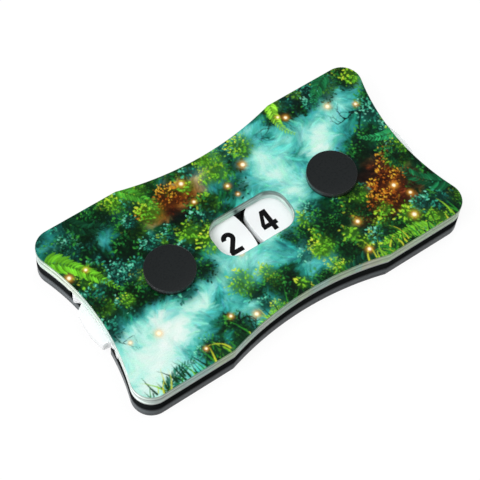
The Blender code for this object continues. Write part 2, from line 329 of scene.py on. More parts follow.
def cap(loops, grid=0.0):
    """Triangles that fill the first loop and leave out the others, fine inside if grid is set."""
    flat = np.concatenate([np.array(loop) for loop in loops])
    edges, start = [], 0
    for loop in loops:
        count = len(loop)
        edges += [(start + k, start + (k + 1) % count) for k in range(count)]
        start += count
    if grid:
        flat = np.concatenate([flat, grid_points(loops, flat, grid)])
    made = delaunay_2d_cdt([Vector(p) for p in flat], edges, [], 1, SAME_SPOT)
    points = np.array([tuple(p) for p in made[0]])
    faces = np.array([f for f in made[2] if len(f) == 3])
    faces = faces[in_material(points[faces].mean(axis=1), loops)]
    a, b, c = points[faces[:, 0]], points[faces[:, 1]], points[faces[:, 2]]
    turn = (b[:, 0] - a[:, 0]) * (c[:, 1] - a[:, 1]) - (b[:, 1] - a[:, 1]) * (c[:, 0] - a[:, 0])
    faces[turn < 0] = faces[turn < 0][:, ::-1]
    return points, faces


def rounded_wall(low, high, foot, head, levels=0, steps=3):
    """(inset, height) pairs up a wall with a rounding at its foot and one at its head."""
    turns = [k * pi / 2 / steps for k in range(steps + 1)]
    bends = [(1 - sin(a), 1 - cos(a)) for a in turns]
    lower = [(FIT + foot * inward, low + foot * upward) for inward, upward in bends]
    upper = [(FIT + head * inward, high - head * upward) for inward, upward in reversed(bends)]
    between = np.linspace(low + foot, high - head, levels + 2)[1:-1]
    return lower + [(FIT, height) for height in between] + upper


def plate(name, loops, walls, materials, grid=0.0):
    """A flat solid from an edge and holes with a wall each.  Its top takes the last material."""
    shape = bmesh.new()
    lows, highs = [], []
    for index, (loop, wall) in enumerate(zip(loops, walls)):
        flats = [inset(loop, distance, index == 0).tolist() for distance, _ in wall]
        rings = []
        for flat, (_, height) in zip(flats, wall):
            rings.append([shape.verts.new((x * MM, y * MM, height * MM)) for x, y in flat])
        lows.append((flats[0], wall[0][1]))
        highs.append((flats[-1], wall[-1][1]))
        for below, above in zip(rings, rings[1:]):
            for k in range(len(loop)):
                j = (k + 1) % len(loop)
                corners = [below[k], below[j], above[j], above[k]]
                face = shape.faces.new(corners if index == 0 else corners[::-1])
                face.smooth = True
    for caps, is_top in ((lows, False), (highs, True)):
        points, faces = cap([c[0] for c in caps], grid if is_top else 0.0)
        height = caps[0][1] * MM
        verts = [shape.verts.new((x * MM, y * MM, height)) for x, y in points]
        for face in faces:
            corners = [verts[k] for k in face]
            made = shape.faces.new(corners if is_top else corners[::-1])
            made.material_index = len(materials) - 1 if is_top else 0
    bmesh.ops.remove_doubles(shape, verts=shape.verts, dist=SAME_SPOT)
    return flat_object(name, shape, materials)


def put_in_scene(name, data):
    made = bpy.data.objects.new(name, data)
    bpy.context.scene.collection.objects.link(made)
    return made


def mesh_object(name, shape, materials):
    mesh = bpy.data.meshes.new(name)
    shape.to_mesh(mesh)
    shape.free()
    for material in materials:
        mesh.materials.append(material)
    return put_in_scene(name, mesh)


def flat_object(name, shape, materials):
    """A mesh object whose walls stay sharp at the corners of the plan."""
    for edge in shape.edges:
        if len(edge.link_faces) == 2 and all(face.smooth for face in edge.link_faces):
            (a, b), bent = edge.verts, edge.calc_face_angle(0.0) > SHARP_CORNER
            edge.smooth = not (bent and abs(a.co.z - b.co.z) > 0.5 * edge.calc_length())
    return mesh_object(name, shape, materials)


def turned(name, profile, x, materials, surfaces, steps=96):
    """(radius, height) points from the top down, spun about the axis at x.

    The surfaces are the number of the material of each band.
    """
    shape = bmesh.new()
    rings = []
    for radius, height in profile:
        angles = [tau * k / steps for k in range(steps if radius > 0 else 1)]
        spots = [(x + radius * cos(a), radius * sin(a), height) for a in angles]
        rings.append([shape.verts.new([value * MM for value in spot]) for spot in spots])
    for surface, upper, lower in zip(surfaces, rings, rings[1:]):
        for k in range(steps):
            corners = []
            for ring, place in ((upper, k), (lower, k), (lower, k + 1), (upper, k + 1)):
                vert = ring[place % len(ring)]
                if vert not in corners:
                    corners.append(vert)
            face = shape.faces.new(corners)
            face.smooth = True
            face.material_index = surface
    for edge in shape.edges:
        if len(edge.link_faces) == 2 and edge.calc_face_angle(0.0) > SHARP_BAND:
            edge.smooth = False
    return mesh_object(name, shape, materials)


# Numbers

def stroke(points, width=STROKE):
    """The outline of a line of even width."""
    far = [k == 0 or dist(p, points[k - 1]) > 0.001 for k, p in enumerate(points)]
    line = np.array(points)[far]
    ahead = np.diff(line, axis=0)
    ahead /= np.linalg.norm(ahead, axis=1)[:, None]
    normal = np.stack([-ahead[:, 1], ahead[:, 0]], axis=1)
    first, last = np.vstack([normal[:1], normal]), np.vstack([normal, normal[-1:]])
    mitre = first + last
    mitre /= np.maximum(np.sum(mitre * first, axis=1), 0.4)[:, None]
    left, right = line + mitre * width / 2, line - mitre * width / 2
    return [tuple(p) for p in left] + [tuple(p) for p in right[::-1]]


def bend(x, y, radius, start, end):
    """An arc with its angles in degrees."""
    return arc((x, y), radius, radians(start), radians(end))


def box(left, low, right, high):
    return [(left, low), (right, low), (right, high), (left, high)]


def digit_shapes():
    """The outlines whose union is each digit, from the lower left of its box."""
    top = DIGIT_HEIGHT
    middle, bowl = 1.6, 1.06
    low, high = bowl + STROKE / 2, top - bowl - STROKE / 2
    six = [
        stroke(bend(middle, high, bowl, 20, 180) + bend(middle, low, bowl, 180, 280)),
        stroke(bend(middle, low, bowl, -95, 0) + bend(middle, low + 0.15, bowl, 0, 185)),
    ]
    return {
        0: [
            stroke(bend(middle, low, bowl, 275, 180) + bend(middle, high, bowl, 180, 85)),
            stroke(bend(middle, low, bowl, -95, 0) + bend(middle, high, bowl, 0, 95)),
        ],
        1: [
            [(1.5, 0.0), (2.6, 0.0), (2.6, top), (1.8, top), (1.5, top - 0.25)],
            [(0.45, top - 1.85), (0.45, top - 0.80), (1.8, top), (2.0, top - 1.1)],
        ],
        2: [
            stroke(bend(1.565, 3.96, 1.0, 184, -40) + [(0.40, 0.68)]),
            [(0.02, 0.0), (3.18, 0.0), (3.18, 1.06), (0.35, 1.06), (0.02, 0.72)],
        ],
        3: [
            stroke(bend(1.52, top - 1.5, 0.96, 168, -92), 1.04),
            stroke(bend(1.5, 1.62, 1.08, 92, -168)),
            box(0.95, 2.38, 1.9, 3.36),
        ],
        4: [
            box(1.85, 0.0, 2.95, top),
            box(0.0, 1.17, 3.61, 2.24),
            [(0.0, 1.6), (0.92, 1.6), (0.92, 2.24), (2.42, top), (1.53, top), (0.0, 2.34)],
        ],
        5: [
            box(0.42, top - 1.04, 3.02, top),
            [(0.26, 2.35), (1.15, 2.35), (1.42, 3.2), (1.45, top), (0.42, top)],
            stroke(bend(1.52, 1.68, 1.14, 140, -168)),
        ],
        6: six,
        7: [
            box(0.08, top - 1.04, 3.2, top),
            [(0.55, 0.0), (1.75, 0.0), (3.2, top - 1.0), (3.2, top - 0.4), (2.05, top - 1.0)],
        ],
        8: [
            stroke(bend(middle, *ring, *turns))
            for ring in ((top - 1.48, 0.94), (low, bowl))
            for turns in ((85, 275), (-95, 95))
        ],
        9: [[(2 * middle - x, top - y) for x, y in loop] for loop in six],
    }


def union(shapes):
    """The triangles covered by any of the shapes, as points and faces."""
    points, faces = [], []
    for shape in map(counterclockwise, shapes):
        faces.append(list(range(len(points), len(points) + len(shape))))
        points += [Vector(p) for p in shape]
    made = delaunay_2d_cdt(points, [], faces, 3, 1e-5)
    return [tuple(p) for p in made[0]], [f for f, origin in zip(made[2], made[5]) if origin]


def add_digits(dial, axle, material):
    """All ten numbers of a dial in one piece of raised ink."""
    shape = bmesh.new()
    inwards = 1 if dial == "tens" else -1
    height = DIAL_HIGH + DIGIT_RISE
    for digit, shapes in digit_shapes().items():
        points, faces = union(shapes)
        middle = (np.min(points, axis=0) + np.max(points, axis=0)) / 2
        turn = DIGIT_TURN[dial] - (digit - SHOWN[dial]) * tau / LOBES
        place = Matrix.Rotation(turn, 3, "Z")
        ring = place @ Vector((inwards * DIGIT_RING[dial], 0.0, 0.0))
        verts = []
        for x, y in points:
            spot = place @ Vector((x - middle[0], y - middle[1], 0.0)) + ring
            verts.append(shape.verts.new(((axle + spot.x) * MM, spot.y * MM, height * MM)))
        for face in faces:
            shape.faces.new([verts[k] for k in face])
    bmesh.ops.recalc_face_normals(shape, faces=shape.faces)
    if sum(face.normal.z for face in shape.faces) < 0:
        bmesh.ops.reverse_faces(shape, faces=shape.faces)
    ink = bmesh.ops.extrude_face_region(shape, geom=shape.faces[:])
    lowered = [v for v in ink["geom"] if isinstance(v, bmesh.types.BMVert)]
    bmesh.ops.translate(shape, verts=lowered, vec=(0.0, 0.0, -2 * DIGIT_RISE * MM))
    bmesh.ops.recalc_face_normals(shape, faces=shape.faces)
    return flat_object(dial + "_numbers", shape, [material])


# Materials

def look(name, colour, roughness, level=0.5, **sockets):
    """A new material, with _ for a space in the names of further sockets."""
    material = bpy.data.materials.new(name)
    material.use_nodes = True
    shader = material.node_tree.nodes["Principled BSDF"]
    sockets.update(Base_Color=(*colour, 1.0), Roughness=roughness, Specular_IOR_Level=level)
    for socket, value in sockets.items():
        shader.inputs[socket.replace("_", " ")].default_value = value
    return material, material.node_tree, shader


def node(tree, kind, links=None, values=None, **settings):
    """A new node with its links, its other inputs' values and its settings."""
    made = tree.nodes.new("ShaderNode" + kind)
    for key, value in settings.items():
        setattr(made, key, value)
    for key, value in (values or {}).items():
        made.inputs[key].default_value = value
    for key, source in (links or {}).items():
        tree.links.new(source, made.inputs[key])
    return made


def noise(tree, scale, detail=3.0, stretch=(1.0, 1.0, 1.0), roughness=0.5):
    """Noise in the object's own coordinates, with scale in cycles to the millimetre."""
    where = node(tree, "TexCoord")
    scales = [scale / MM * s for s in stretch]
    mapped = node(tree, "Mapping", {"Vector": where.outputs["Object"]}, {"Scale": scales})
    values = {"Scale": 1.0, "Detail": detail, "Roughness": roughness}
    made = node(tree, "TexNoise", {"Vector": mapped.outputs["Vector"]}, values)
    return made.outputs["Fac"]


def spread(tree, value, low, high, out_low, out_high):
    """A value mapped from one range to another."""
    values = {"From Min": low, "From Max": high, "To Min": out_low, "To Max": out_high}
    return node(tree, "MapRange", {"Value": value}, values).outputs["Result"]


def vary_colour(tree, shader, value, low, high):
    """Base colour between two colours, by a value from 0 to 1."""
    mix = node(tree, "Mix", {0: value}, {6: (*low, 1.0), 7: (*high, 1.0)}, data_type="RGBA")
    tree.links.new(mix.outputs[2], shader.inputs["Base Color"])


def scale_colour(tree, shader, colour, strength):
    """Base colour from another, made lighter or darker by a value."""
    scaled = node(tree, "VectorMath", {0: colour, "Scale": strength}, operation="SCALE")
    tree.links.new(scaled.outputs["Vector"], shader.inputs["Base Color"])


def vary_roughness(tree, shader, value, low, high):
    tree.links.new(spread(tree, value, 0.3, 0.7, low, high), shader.inputs["Roughness"])


def bump(tree, shader, height, strength, depth):
    made = node(tree, "Bump", {"Height": height}, {"Strength": strength, "Distance": depth * MM})
    tree.links.new(made.outputs["Normal"], shader.inputs["Normal"])


def by_height(tree, stops):
    """A value that follows the height on the object, from (height, value) stops."""
    where = node(tree, "TexCoord")
    parts = node(tree, "SeparateXYZ", {0: where.outputs["Object"]})
    low, high = stops[0][0], stops[-1][0]
    level = spread(tree, parts.outputs["Z"], low * MM, high * MM, 0.0, 1.0)
    shades = node(tree, "ValToRGB", {"Fac": level})
    elements = shades.color_ramp.elements
    while len(elements) < len(stops):
        elements.new(0.5)
    for element, (height, value) in zip(elements, stops):
        element.position = (height - low) / (high - low)
        element.color = (value, value, value, 1.0)
    return shades.outputs["Color"]


def painted_light_on_ends(tree, gain=0.4):
    """Painted light: 1 on the long sides and more on the walls that face along the object."""
    facing = node(tree, "NewGeometry")
    parts = node(tree, "SeparateXYZ", {0: facing.outputs["Normal"]})
    along = node(tree, "Math", {0: parts.outputs["X"]}, operation="ABSOLUTE")
    return spread(tree, along.outputs[0], 0.0, 1.0, 1.0, 1.0 + gain)


def cut_sheet(name, dark, light, roughness, level, bands, edge=(0.0, 0.0, 0.0)):
    """Painted shade and highlight bands by height between the piece's own colour and its edge's,
    painted light on the walls facing along X, with upright marks.
    """
    material, tree, shader = look(name, dark, roughness, level)
    mottle = noise(tree, 0.16, 4.0)
    vary_colour(tree, shader, spread(tree, mottle, 0.35, 0.65, 0.0, 1.0), dark, light)
    # The painted bands mix the piece's colour towards the edge colour, as painted shade or painted
    # highlight
    links = {0: by_height(tree, bands), 7: shader.inputs["Base Color"].links[0].from_socket}
    mix = node(tree, "Mix", links, {6: (*edge, 1.0)}, data_type="RGBA")
    scale_colour(tree, shader, mix.outputs[2], painted_light_on_ends(tree))
    vary_roughness(tree, shader, noise(tree, 0.7, 5.0), roughness * 0.8, roughness * 1.3)
    bump(tree, shader, noise(tree, 6.0, 2.0, UPRIGHT), 0.25, 0.02)
    return material


def black_sheet(name, level=0.0, bands=PLAIN, edge=(0.0, 0.0, 0.0)):
    dark, light = (0.009, 0.0105, 0.0105), (0.012, 0.0138, 0.0138)
    return cut_sheet(name, dark, light, 0.28, level, bands, edge)


def clear_sheet():
    """Clear acrylic, whose cut walls take painted light in the colours of the print above them, as
    if refracted, with painted dark lines by height.
    """
    glass = {"IOR": 1.49, "Transmission_Weight": 0.05}
    material, tree, shader = look("clear_cut_acrylic", (0.62, 0.70, 0.62), 0.12, 0.15, **glass)
    streaks = spread(tree, noise(tree, 1.6, 3.0, (0.2, 0.2, 1.0), 0.6), 0.3, 0.7, 0.78, 1.34)
    fade = spread(tree, noise(tree, 0.11, 3.0), 0.36, 0.56, 0.5, 1.0)
    # Painted dark lines by height, faded in places by noise
    lines = node(tree, "Mix", {0: fade, 3: by_height(tree, CLEAR_LINES)}, {2: 1.0})
    drawn = node(tree, "Math", {0: streaks, 1: lines.outputs[0]}, operation="MULTIPLY")
    tinted_by_paint(tree, shader, drawn.outputs[0])
    vary_roughness(tree, shader, noise(tree, 0.9, 4.0), 0.10, 0.22)
    bump(tree, shader, noise(tree, 5.0, 2.0, UPRIGHT), 0.2, 0.02)
    return material


def tinted_by_paint(tree, shader, strength):
    """Base colour from the colours painted on the mesh."""
    paint = node(tree, "Attribute", attribute_name="paint")
    scale_colour(tree, shader, paint.outputs["Color"], strength)


def printed_ink():
    """Ink in the colours painted on the mesh, with a fine grain and a slight satin relief."""
    material, tree, shader = look("printed_ink", (0.1, 0.3, 0.15), 0.3, 0.04)
    grain = noise(tree, 5.0, 4.0, roughness=0.7)
    tinted_by_paint(tree, shader, spread(tree, grain, 0.3, 0.7, 0.85, 1.14))
    vary_roughness(tree, shader, noise(tree, 1.2, 4.0), 0.24, 0.4)
    bump(tree, shader, noise(tree, 8.0, 3.0), 0.15, 0.01)
    return material


def white_sheet(name, dark, light):
    material, tree, shader = look(name, dark, 0.3, 0.3)
    vary_colour(tree, shader, noise(tree, 0.3, 4.0), dark, light)
    vary_roughness(tree, shader, noise(tree, 1.5, 4.0), 0.25, 0.42)
    bump(tree, shader, noise(tree, 6.0, 2.0, (1.0, 1.0, 0.05)), 0.12, 0.01)
    return material


def black_ink():
    dark, light = (0.0025, 0.0025, 0.003), (0.006, 0.006, 0.0065)
    material, tree, shader = look("black_ink", (0.006, 0.006, 0.007), 0.5, 0.03)
    vary_colour(tree, shader, noise(tree, 3.0, 4.0), dark, light)
    vary_roughness(tree, shader, noise(tree, 4.0, 3.0), 0.4, 0.6)
    bump(tree, shader, noise(tree, 8.0, 3.0), 0.1, 0.008)
    return material


def black_nylon(name, level, dark, light):
    """Moulded nylon with a fine even grain."""
    material, tree, shader = look(name, dark, 0.5, level)
    grain = noise(tree, 9.0, 3.0, roughness=0.6)
    vary_colour(tree, shader, grain, dark, light)
    vary_roughness(tree, shader, noise(tree, 2.0, 4.0), 0.24, 0.34)
    bump(tree, shader, grain, 0.2, 0.012)
    return material


def plated_steel():
    dark, light = (0.46, 0.465, 0.47), (0.62, 0.63, 0.64)
    material, tree, shader = look("plated_steel_turned", (0.55, 0.56, 0.57), 0.3, Metallic=1.0)
    vary_colour(tree, shader, noise(tree, 2.0, 5.0), dark, light)
    vary_roughness(tree, shader, noise(tree, 7.0, 3.0), 0.22, 0.42)
    bump(tree, shader, noise(tree, 10.0, 2.0), 0.1, 0.01)
    return material


# The printed design

class Painting:
    """Paint in linear colour on a grid of cells, with brushes that lay marks on it."""

    def __init__(self, half_x, half_y, cell=0.1):
        self.cell, self.low = cell, np.array([-half_x, -half_y])
        self.xs = np.arange(-half_x, half_x + cell, cell)
        self.ys = np.arange(-half_y, half_y + cell, cell)
        self.x, self.y = np.meshgrid(self.xs, self.ys)
        self.colour = np.zeros((*self.x.shape, 3))

    def window(self, x, y, reach):
        """The cells within reach of a place, as slices."""
        column, row = (np.array([x, y]) - self.low) / self.cell
        span = int(reach / self.cell) + 2
        middles = int(row), int(column)
        return tuple(slice(max(0, k - span), max(0, k + span + 1)) for k in middles)

    def local(self, where, x, y, angle):
        """Coordinates along and across a direction, from a place."""
        dx, dy = self.x[where] - x, self.y[where] - y
        c, s = cos(angle), sin(angle)
        return dx * c + dy * s, dy * c - dx * s

    def away(self, where, x, y):
        """Each cell's distance from a place."""
        return np.hypot(self.x[where] - x, self.y[where] - y)

    def cover(self, depth):
        """How much of a cell a mark covers, from the cell's depth in the mark."""
        return np.clip(depth / self.cell + 0.5, 0, 1)

    def cells(self, x, y):
        """The row and column of the cell at a place."""
        rows, columns = (y - self.low[1]) / self.cell, (x - self.low[0]) / self.cell
        return rows.astype(int), columns.astype(int)

    def blend(self, where, mask, colour):
        area = self.colour[where]
        area += mask[..., None] * (np.asarray(colour) - area)

    def at(self, x, y):
        column = np.clip(np.round((x - self.low[0]) / self.cell).astype(int), 0, len(self.xs) - 1)
        row = np.clip(np.round((y - self.low[1]) / self.cell).astype(int), 0, len(self.ys) - 1)
        return self.colour[row, column]

    def leaf(self, x, y, angle, length, width, colour, alpha=1.0, curve=0.0):
        """A pointed leaf from its foot, lighter on one side of its rib."""
        reach = length / 2
        where = self.window(x + cos(angle) * reach, y + sin(angle) * reach, reach * 1.2)
        along, across = self.local(where, x, y, angle)
        along = along / length
        across = across + curve * length * along**2
        half = width / 2 * np.sin(np.clip(along, 0, 1) * pi) ** 0.8
        mask = self.cover(half - np.abs(across)) * ((along > 0) & (along < 1))
        shade = np.where(across > 0, 1.18, 0.82)[..., None]
        self.blend(where, alpha * mask, np.clip(np.asarray(colour) * shade, 0, 0.97))

    def dab(self, x, y, angle, length, width, colour, alpha, phase):
        """A brush mark with bristle lines along it."""
        where = self.window(x, y, length / 2 + width)
        along, across = self.local(where, x, y, angle)
        along, across = along / (length / 2), across / (width / 2)
        bristles = 0.70 + 0.30 * np.sin(across * 7 + phase)
        mask = np.clip(1.4 * (1 - along**4 - across**2), 0, 1) * bristles
        self.blend(where, alpha * mask, colour)

    def line(self, points, width, colour, alpha, tip=0.3):
        """A line that thins towards its end."""
        for k, (x, y) in enumerate(points):
            here = width * (1 - (1 - tip) * k / len(points))
            where = self.window(x, y, here)
            self.blend(where, alpha * self.cover(here / 2 - self.away(where, x, y)), colour)

    def glow(self, x, y, radius, core, halo):
        where = self.window(x, y, radius * 4)
        distance = self.away(where, x, y) / radius
        self.blend(where, 0.7 * np.exp(-(distance**2) / 2.2), halo)
        self.blend(where, np.clip(1.6 - 1.6 * distance, 0, 1), core)

    def haze(self, x, y, radius, colour, alpha):
        where = self.window(x, y, radius * 1.6)
        self.blend(where, alpha * np.exp(-((self.away(where, x, y) / radius) ** 4)), colour)


def within(corners, tx, ty):
    """The value in a cell from those at its corners."""
    a, b, c, d = corners
    return (a * (1 - tx) + b * tx) * (1 - ty) + (c * (1 - tx) + d * tx) * ty


def value_noise(x, y, rng, octaves=5):
    """Fractal noise about 0, of unit frequency at its coarsest."""
    total, weight = np.zeros_like(x), 1.0
    for octave in range(octaves):
        table = rng.uniform(-1, 1, (64, 64))
        fx, fy = x * 2**octave + 17.3 * octave, y * 2**octave + 5.1 * octave
        ix, iy = np.floor(fx).astype(int), np.floor(fy).astype(int)
        tx, ty = fx - ix, fy - iy
        tx, ty = tx * tx * (3 - 2 * tx), ty * ty * (3 - 2 * ty)
        corners = [table[(iy + j) % 64, (ix + i) % 64] for j in (0, 1) for i in (0, 1)]
        total += weight * within(corners, tx, ty)
        weight *= 0.55
    return total


def ramp(value, stops):
    """Colours along a list of (place, colour) stops."""
    places, colours = zip(*stops)
    return np.stack([np.interp(value, places, channel) for channel in zip(*colours)], axis=-1)


BLACK, PINE, FOREST = (0.001, 0.004, 0.003), (0.002, 0.022, 0.014), (0.004, 0.08, 0.025)
TEAL, SEA, AQUA = (0.015, 0.20, 0.18), (0.06, 0.38, 0.33), (0.24, 0.65, 0.56)
MINT, PALE, STRAW = (0.60, 0.90, 0.80), (0.88, 0.98, 0.93), (0.92, 0.85, 0.42)
LIME, YELLOW, GOLD = (0.22, 0.52, 0.02), (0.60, 0.72, 0.05), (0.66, 0.42, 0.02)
AMBER, RUST, UMBER = (0.56, 0.17, 0.01), (0.17, 0.03, 0.006), (0.035, 0.008, 0.003)
COOL = (
    (0.0, BLACK), (0.16, PINE), (0.32, FOREST), (0.44, TEAL),
    (0.60, SEA), (0.78, AQUA), (0.96, MINT), (1.2, PALE),
)
WARM = ((0.0, BLACK), (0.18, UMBER), (0.34, RUST), (0.55, AMBER), (0.78, GOLD), (1.05, STRAW))
SPRING = ((0.10, 0.38, 0.02), LIME, YELLOW)
SHADE = ((0.003, 0.05, 0.012), (0.01, 0.15, 0.03), (0.05, 0.30, 0.03))
WATER = ((0.01, 0.12, 0.09), (0.03, 0.34, 0.20), (0.20, 0.66, 0.46))
AUTUMN = ((0.10, 0.018, 0.004), (0.42, 0.11, 0.008), (0.80, 0.50, 0.04))


def paint_design(seed=23):
    """Mist over water between clumps of leaves, with some autumn leaves and small lights."""
    rng = np.random.default_rng(seed)
    sheet = Painting(PRINT_X, PRINT_Y + 0.1)
    x, y = sheet.x, sheet.y
    sway = value_noise(x / 17, y / 13, rng)
    drift = value_noise(x / 8 + 40 + 0.5 * sway, y / 8, rng)
    fine = value_noise(x / 3.0 + drift, y / 2.2 + 9, rng)
    stream = np.exp(-(((y - 0.40 * x + 1 + 6 * sway) / 7.5) ** 2))
    pool = np.exp(-(((x + 27) / 13) ** 2 + ((y + 11) / 8) ** 2))
    light = 0.25 + 0.56 * stream + 0.34 * pool + 0.20 * drift + 0.12 * fine
    heat = np.exp(-(((x - 27 + 4 * drift) / 8) ** 2 + ((y + 9 + 4 * sway) / 6) ** 2))
    heat += 0.9 * np.exp(-(((x + 12 - 4 * sway) / 9) ** 2 + ((y - 14) / 4) ** 2))
    heat = np.clip(1.6 * heat + 0.25 * fine - 0.35, 0, 1)
    sheet.colour[:] = ramp(light, COOL)
    sheet.colour += heat[..., None] * (ramp(light + 0.16, WARM) - sheet.colour)
    flow = value_noise(x / 11 + 3, y / 11 + 8, rng, 3)
    brush(sheet, rng, flow, ((2.2, 900, 0.45), (1.1, 3000, 0.6), (0.55, 7000, 0.7)))
    twigs(sheet, rng)
    clumps(sheet, rng, light, heat)
    fronds(sheet, rng)
    blades(sheet, rng)
    level = sheet.colour.mean(axis=-1, keepdims=True)
    gains = (0.25, 0.6, 0.97, 1.12, 1.0, 0.8)
    sheet.colour *= np.interp(level, (0.0, 0.03, 0.08, 0.2, 0.45, 0.8), gains)
    lights(sheet, rng)
    return sheet


def places(rng, count=None):
    """One place on the print, or many."""
    return rng.uniform(-PRINT_X, PRINT_X, count), rng.uniform(-PRINT_Y, PRINT_Y, count)


def brush(sheet, rng, flow, passes):
    """Small marks that follow a common flow and take their colour from below."""
    for size, count, alpha in passes:
        xs, ys = places(rng, count)
        turns = flow[sheet.cells(xs, ys)] * 2.4 + rng.normal(0, 0.3, count) + 0.4
        lengths = size * rng.uniform(1.4, 3.6, count)
        under = sheet.at(xs, ys)
        calm = np.clip(under.mean(axis=1), 0, 1)[:, None]
        jitter = rng.normal(0, 0.55, (count, 1)) * (1 - calm) ** 2
        shades = np.exp(jitter + rng.normal(0, 0.14, (count, 3)) * (1 - calm))
        colours = np.clip(under * shades, 0, 0.97)
        phases = rng.uniform(0, tau, count)
        for k in range(count):
            sheet.dab(xs[k], ys[k], turns[k], lengths[k], 0.55 * size, colours[k], alpha, phases[k])


def path(x, y, angle, length, curl, rng, wobble=0.25, step=0.1):
    """The points of a wobbling line, and its last direction."""
    points = []
    for _ in range(int(length / step)):
        points.append((x, y))
        angle += (curl + rng.normal(0, wobble)) * step
        x += cos(angle) * step
        y += sin(angle) * step
    return points, angle


def twig(sheet, rng, x, y, angle, length, width, colour):
    """A stem that forks into thinner ones."""
    points, end = path(x, y, angle, length, rng.normal(0, 0.14), rng, 1.4)
    sheet.line(points, width, colour, 0.9, 0.55)
    if length < 1.2:
        return
    for turn in (rng.uniform(0.25, 0.6), -rng.uniform(0.25, 0.7)):
        start = points[rng.integers(len(points) // 2, len(points))]
        reach = length * rng.uniform(0.5, 0.8)
        twig(sheet, rng, *start, end + turn, reach, width * 0.6, colour)


def twigs(sheet, rng):
    """Twigs by their foot, angle, length and colour."""
    for *stem, colour in (
        (-41, -4, 0.3, 8, (0.004, 0.04, 0.035)),
        (-16, -22, 1.9, 7, (0.003, 0.025, 0.02)),
        (6, 22, -1.2, 7, (0.004, 0.02, 0.012)),
        (18, 21, -0.5, 8, (0.012, 0.03, 0.012)),
        (41, 9, 3.4, 8, (0.004, 0.03, 0.022)),
        (13, -21, 1.1, 6, (0.02, 0.01, 0.004)),
    ):
        twig(sheet, rng, *stem, 0.75, colour)


def clump(sheet, rng, x, y, radius, shades, leaf):
    """A round mass of leaves, dark below and bright where the light falls on it."""
    deep, low, middle, high = np.multiply(shades[0], 0.5), *shades
    stops = ((0.15, deep), (0.42, low), (0.68, middle), (0.98, high))
    sheet.haze(x + 0.15 * radius, y - 0.2 * radius, radius, np.multiply(low, 0.35), 0.75)
    count = int(7.5 * (radius / leaf) ** 1.6)
    for k in range(count):
        turn = rng.uniform(0, tau)
        out = radius * sqrt(rng.uniform()) * rng.uniform(0.7, 1.25)
        dx, dy = out * cos(turn), out * sin(turn)
        sunny = 0.5 + 0.36 * (dy - 0.5 * dx) / radius
        colour = ramp(sunny + rng.normal(0, 0.14) + 0.22 * k / count - 0.08, stops)
        length = leaf * rng.uniform(0.55, 1.25)
        heading = turn + rng.normal(0, 0.9)
        curve = rng.normal(0, 0.12)
        sheet.leaf(x + dx, y + dy, heading, length, 0.48 * length, colour, 0.92, curve)


def clumps(sheet, rng, light, heat):
    """Clumps where the ground is dark, in autumn colours where it is warm."""
    for _ in range(520):
        x, y = places(rng)
        cell = sheet.cells(x, y)
        if light[cell] > 0.46 + rng.normal(0, 0.07):
            continue
        palette = (SHADE, SHADE, SPRING, SHADE, WATER)[rng.integers(5)]
        if heat[cell] > 0.35:
            palette = AUTUMN if rng.uniform() < 0.7 else SPRING
        size = rng.uniform(1.2, 3.0)
        clump(sheet, rng, x, y, size, palette, rng.uniform(0.45, 0.85))


def frond(sheet, rng, x, y, angle, length, curl, colour, leaf):
    """A stem with leaves on both sides that get smaller towards its tip."""
    points, _ = path(x, y, angle, length, curl, rng)
    sheet.line(points, 0.36, np.multiply(colour, 0.5), 0.95)
    for k in range(7, len(points) - 1, 7):
        (px, py), (qx, qy) = points[k], points[k + 1]
        heading = atan2(qy - py, qx - px)
        size = leaf * (1 - 0.8 * k / len(points)) * rng.uniform(0.85, 1.15)
        for side in (-1, 1):
            shade = np.clip(np.multiply(colour, exp(rng.normal(0, 0.3))), 0, 0.95)
            sheet.leaf(px, py, heading + side * 0.95, size, size * 0.3, shade, 0.95, side * 0.2)


def fronds(sheet, rng):
    """Fern leaves by their foot, angle, length, curl, colour and leaf length."""
    for stem in (
        (-42, 16, -0.30, 17, -0.05, (0.10, 0.36, 0.015), 3.4),
        (-33, 23, -1.15, 13, 0.10, (0.004, 0.05, 0.02), 3.0),
        (-20, 23, -0.75, 12, -0.08, (0.05, 0.26, 0.02), 2.6),
        (-36, -23, 1.0, 11, -0.10, (0.01, 0.14, 0.09), 2.6),
        (-4, -23, 2.2, 10, 0.10, (0.16, 0.44, 0.03), 2.3),
        (9, -22, 0.55, 14, -0.04, (0.004, 0.06, 0.03), 3.1),
        (32, -23, 2.2, 13, 0.08, (0.14, 0.42, 0.02), 2.8),
        (42, -15, 2.85, 15, -0.07, (0.005, 0.09, 0.03), 3.2),
        (42, 2, 3.5, 11, -0.10, (0.02, 0.26, 0.08), 2.7),
        (36, 22, -2.8, 11, 0.06, (0.01, 0.16, 0.05), 2.8),
        (21, 23, -2.2, 11, 0.10, (0.20, 0.50, 0.03), 2.4),
    ):
        frond(sheet, rng, *stem)


def blades(sheet, rng):
    """Grass that stands up from the lower edge."""
    colours = ((0.004, 0.05, 0.015), (0.02, 0.20, 0.02), (0.20, 0.42, 0.02), (0.45, 0.50, 0.03))
    for _ in range(210):
        x = rng.uniform(-41, 41)
        colour = colours[min(3, int(rng.gamma(1.3)))]
        foot, heading = rng.uniform(-24, -21), pi / 2 + rng.normal(0, 0.3)
        length, curl = rng.uniform(2, 6), rng.normal(0, 0.12)
        points, _ = path(x, foot, heading, length, curl, rng)
        sheet.line(points, rng.uniform(0.25, 0.5), colour, 0.85, 0.15)


def lights(sheet, rng):
    """Small warm lights with a halo."""
    for _ in range(24):
        x, y = rng.uniform(-39, 39), rng.uniform(-20, 20)
        sheet.glow(x, y, rng.uniform(0.26, 0.6), (1.0, 0.95, 0.70), (0.95, 0.45, 0.05))


def at_vertices(mesh, name):
    """The vector of this name at each vertex."""
    values = np.empty(len(mesh.vertices) * 3)
    mesh.vertices.foreach_get(name, values)
    return values.reshape(-1, 3)


